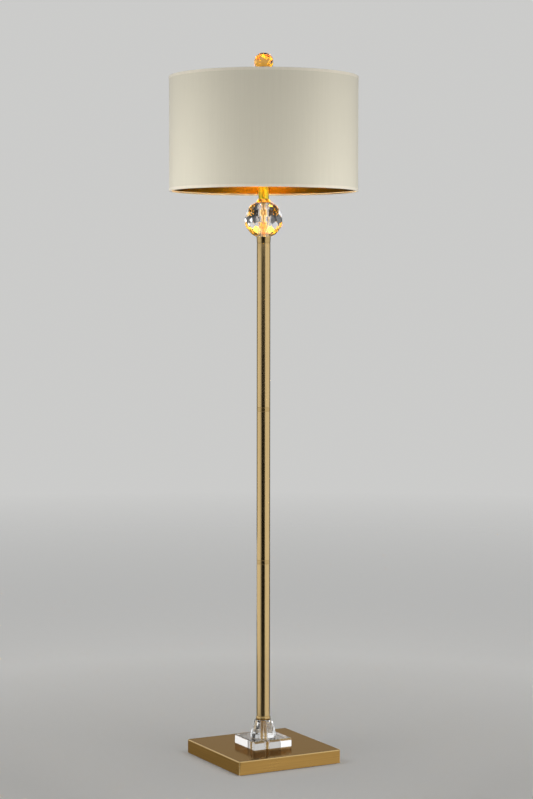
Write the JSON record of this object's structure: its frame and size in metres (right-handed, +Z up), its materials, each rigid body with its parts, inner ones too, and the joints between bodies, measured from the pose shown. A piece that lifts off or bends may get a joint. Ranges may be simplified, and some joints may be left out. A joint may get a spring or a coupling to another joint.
{
  "type": "floor lamp",
  "caption": "Column floor lamp with a square base, a cut crystal foot and ball on a jointed brass column, a harp and socket, a straight drum shade and a crystal finial.",
  "frame": {"origin": "on the floor, under the middle of the square base", "axes": "+Z up along the column; +X and +Y along the base's sides; the cord comes in through the +Y side and the switch knob points to -Y"},
  "size_m": [0.4199, 0.42, 1.5779],
  "materials": {
    "satin_brass": "satin brushed brass, warm gold",
    "antique_brass": "antique brass plate with straight brushing",
    "pipe_brass": "plain drawn brass, threaded",
    "socket_brass": "thin pressed brass, bright",
    "clear_crystal": "clear cut crystal, polished facets",
    "amber_crystal": "warm amber cut crystal, polished facets",
    "cream_fabric": "fine cream slub weave on a stiff backing",
    "gold_lining": "gold foil lining, satin",
    "zinc_steel": "zinc plated steel",
    "frame_steel": "cream powder coated wire",
    "ballast_iron": "raw sand casting",
    "felt": "black felt",
    "black_plastic": "black moulded plastic",
    "fibre": "pressed fibre sleeve",
    "washer_rubber": "soft clear washer",
    "bulb_frost": "frosted white glass, lit warm",
    "bulb_metal": "rolled aluminium",
    "bulb_insulation": "black glass insulator",
    "lead_sheath": "gold translucent sheath",
    "terminal_plastic": "white moulded plastic"
  },
  "bodies": {
    "stand": {"ball_cap": "satin_brass", "ball_cup": "satin_brass", "ball_rod": "pipe_brass", "ball_sleeve": "pipe_brass", "ball_washer_lower": "washer_rubber", "ball_washer_upper": "washer_rubber", "ballast": "ballast_iron", "base_shell": "antique_brass", "bottom_plate": "zinc_steel", "bottom_plate_screws": "zinc_steel", "centre_contact": "pipe_brass", "column_tube_lower": "satin_brass", "column_tube_middle": "satin_brass", "column_tube_upper": "satin_brass", "cord_gland": "black_plastic", "cord_gland_nut": "black_plastic", "crystal_ball": "clear_crystal", "crystal_foot": "clear_crystal", "crystal_plinth": "clear_crystal", "floor_pad": "felt", "harp": "socket_brass", "harp_saddle": "socket_brass", "joint_nipple_lower": "pipe_brass", "joint_nipple_upper": "pipe_brass", "joint_ring_lower": "satin_brass", "joint_ring_upper": "satin_brass", "lead": "lead_sheath", "lower_collar": "satin_brass", "neck_tube": "satin_brass", "screw_shell": "socket_brass", "socket_body": "black_plastic", "socket_cap": "socket_brass", "socket_liner": "fibre", "socket_shell": "socket_brass", "stand_pipe": "pipe_brass", "stand_pipe_locknut": "zinc_steel", "stand_pipe_washer": "zinc_steel", "terminal_block": "terminal_plastic", "tube_inserts_lower": "pipe_brass", "tube_inserts_middle": "pipe_brass", "tube_inserts_upper": "pipe_brass"},
    "shade": {"shade_cover": "cream_fabric", "shade_lining": "gold_lining", "shade_top_frame": "frame_steel", "shade_bottom_ring": "frame_steel", "shade_trim_top": "cream_fabric", "shade_trim_bottom": "cream_fabric"},
    "finial": {"finial_base": "satin_brass", "finial_ball": "amber_crystal"},
    "bulb": {"bulb_glass": "bulb_frost", "bulb_screw_cap": "bulb_metal", "bulb_insulator": "bulb_insulation", "bulb_button": "pipe_brass"},
    "switch": {"switch_spindle": "pipe_brass", "switch_knob": "black_plastic"},
    "ferrule_left": {"ferrule_left": "socket_brass"},
    "ferrule_right": {"ferrule_right": "socket_brass"}
  },
  "joints": [
    {"name": "shade_turn", "type": "hinge", "parent": "stand", "child": "shade", "pos_m": [0, 0, 1.5199], "axis": [0, 0, 1], "continuous": true},
    {"name": "finial_turn", "type": "hinge", "parent": "stand", "child": "finial", "pos_m": [0, 0, 1.5209], "axis": [0, 0, 1], "continuous": true},
    {"name": "bulb_turn", "type": "hinge", "parent": "stand", "child": "bulb", "pos_m": [0, 0, 1.3259], "axis": [0, 0, 1], "continuous": true},
    {"name": "switch_turn", "type": "hinge", "parent": "stand", "child": "switch", "pos_m": [0, 0, 1.3119], "axis": [0, -1, 0], "continuous": true},
    {"name": "ferrule_left_lift", "type": "slide", "parent": "stand", "child": "ferrule_left", "axis": [0, 0, 1], "range_m": [0, 0.012]},
    {"name": "ferrule_right_lift", "type": "slide", "parent": "stand", "child": "ferrule_right", "axis": [0, 0, 1], "range_m": [0, 0.012]}
  ]
}
